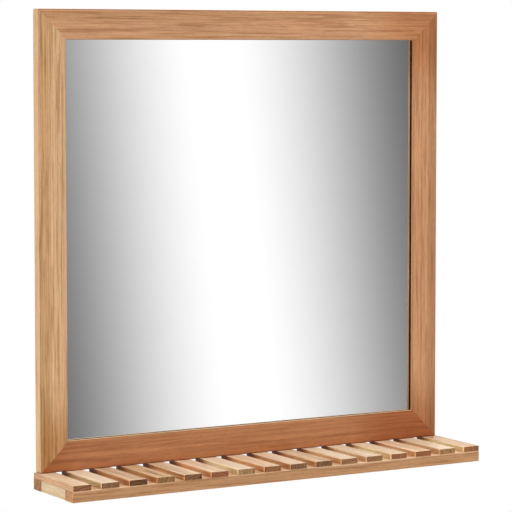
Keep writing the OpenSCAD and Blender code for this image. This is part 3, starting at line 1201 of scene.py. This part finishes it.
@dataclass
class Studio:
    """The floor, the lamps, the screen that the mirror shows, the world and the camera.

    Its angles are in degrees.
    """

    target: Triple = (0.0, -0.05, -0.22)
    floor_z: float = -1.62
    floor_radius: float = 4.4
    floor_paint: str = "F4F3F1"
    floor_sides: int = 96
    floor_near: float = 0.3
    floor_glow: float = 0.75
    ambient_front: float = 0.42
    ambient_back: float = 0.06
    screen_radius: float = 5.2
    screen_top: float = 3.4
    screen_back: float = -0.3
    screen_sides: int = 128
    strip_apart: float = 24.0
    strip_start: float = 28.977
    strip_lean: float = 1.19
    strip_edge: float = 2.05
    strip_dark: float = 0.05
    strip_bright: float = 1.12
    camera_place: Triple = (-1.60053, -2.75733, 0.03461)
    camera_yaw: float = 30.4636
    camera_drop: float = 4.1685
    lens: float = 173.024
    shift_y: float = -0.0605

    lamps = (
        Softbox("lamp_front_right", (2.3, -2.3, 0.8), 1.5, 0.5),
        Softbox("lamp_left", (-2.9, -0.5, -0.5), 0.6, 0.54),
        Softbox("lamp_overhead", (-0.1, 0.0, 2.65), 1.8, 1.12),
        Softbox("lamp_behind", (2.0, 2.6, 0.9), 1.6, 0.5),
    )

    def build(self) -> None:
        """Sets up the studio."""
        bpy.context.scene.view_settings.view_transform = "Standard"
        for lamp in self.lamps:
            lamp.light(Vector(self.target))
        self.floor()
        self.screen()
        self.world()
        self.camera()

    @staticmethod
    def seen_directly(w: Wiring) -> Socket:
        """Gives 1 where a ray comes from the camera, a gloss or a glass, and 0 elsewhere."""
        path = w.node("LightPath").outputs
        seen = w.math("MAXIMUM", path["Is Camera Ray"], path["Is Glossy Ray"])
        return w.math("MAXIMUM", seen, path["Is Transmission Ray"])

    def floor(self) -> None:
        """Lays the pale floor, which shows as white but for the object's shadow."""
        disc = {"radius": self.floor_radius, "fill_type": "NGON", "location": (0, 0, self.floor_z)}
        piece = primitive("floor", bpy.ops.mesh.primitive_circle_add, vertices=self.floor_sides, **disc)
        look, w, shader = new_material("pale_floor")
        w.feed_all(shader, {"Base Color": paint(self.floor_paint), "Roughness": 0.8})
        glow = w.node("Emission", {0: WHITE, 1: 1.0})
        fade = w.step(w.length(w.here()), self.floor_near - self.floor_z, self.floor_radius)
        share = w.times(self.seen_directly(w), w.spread(fade, self.floor_glow, 1.0))
        seen = w.node("MixShader", {0: share, 1: shader.outputs[0], 2: glow.outputs[0]})
        clear = w.node("BsdfTransparent")
        below = w.node("NewGeometry").outputs["Backfacing"]
        both = w.node("MixShader", {0: below, 1: seen.outputs[0], 2: clear.outputs[0]})
        w.feed(w.tree.nodes["Material Output"].inputs["Surface"], both.outputs[0])
        piece.data.materials.append(look)

    def screen(self) -> None:
        """Stands up the curved screen of soft light strips that lies before the mirror."""
        height = self.screen_top - self.floor_z
        piece = primitive(
            "light_screen", bpy.ops.mesh.primitive_cylinder_add, vertices=self.screen_sides,
            radius=self.screen_radius, depth=height, end_fill_type="NOTHING",
            location=(0, 0, self.floor_z + height / 2),
        )
        with editing(piece, "FACE", "SELECT"):
            bpy.ops.mesh.bisect(plane_co=(0, self.screen_back, 0), plane_no=(0, 1, 0), clear_outer=True)
        look, w, shader = new_material("light_strips")
        w.tree.nodes.remove(shader)
        glow = w.node("Emission", {0: WHITE, 1: self.strips(w)})
        w.feed(w.tree.nodes["Material Output"].inputs["Surface"], glow.outputs[0])
        piece.data.materials.append(look)
        piece.visible_camera = piece.visible_diffuse = piece.visible_shadow = False

    def strips(self, w: Wiring) -> Socket:
        """Gives the screen's brightness: soft upright strips, leaning a little, with grey between."""
        parts = w.parts(w.here())
        turn = w.math("ARCTAN2", parts[0], w.times(parts[1], -1.0))
        lean = w.times(parts[2], math.radians(self.strip_lean))
        phase = w.minus(w.plus(turn, lean), math.radians(self.strip_start))
        wave = w.math("COSINE", w.times(phase, 2 * math.pi / math.radians(self.strip_apart)))
        pulse = w.math("POWER", w.plus(w.times(wave, 0.5), 0.5), self.strip_edge)
        return w.spread(pulse, self.strip_dark, self.strip_bright)

    def world(self) -> None:
        """Makes the surroundings white to the eye and dimmer as a light."""
        made = bpy.data.worlds.new("studio")
        made.use_nodes = True
        w = Wiring(made.node_tree)
        toward_back = w.parts(w.node("TexCoord").outputs["Generated"])[1]
        share = w.plus(w.times(toward_back, 0.5), 0.5)
        ambient = w.spread(share, self.ambient_front, self.ambient_back)
        strength = w.node("Mix", {0: self.seen_directly(w), 2: ambient, 3: 1.0}).outputs[0]
        w.feed_all(made.node_tree.nodes["Background"], {0: WHITE, 1: strength})
        bpy.context.scene.world = made

    def camera(self) -> None:
        """Places the camera."""
        lens = bpy.data.cameras.new("camera")
        lens.lens = self.lens
        lens.shift_y = self.shift_y
        made = add_object("camera", lens)
        made.location = self.camera_place
        made.rotation_euler = (math.radians(90 - self.camera_drop), 0, -math.radians(self.camera_yaw))
        bpy.context.scene.camera = made


def main() -> None:
    """Builds the mirror and its studio in order."""
    logging.basicConfig(level=logging.INFO, format="%(name)s: %(message)s")
    MitredFrame().build()
    Mirror().build()
    SlattedShelf().build()
    Hardware().build()
    Studio().build()


if __name__ == "__main__":
    main()
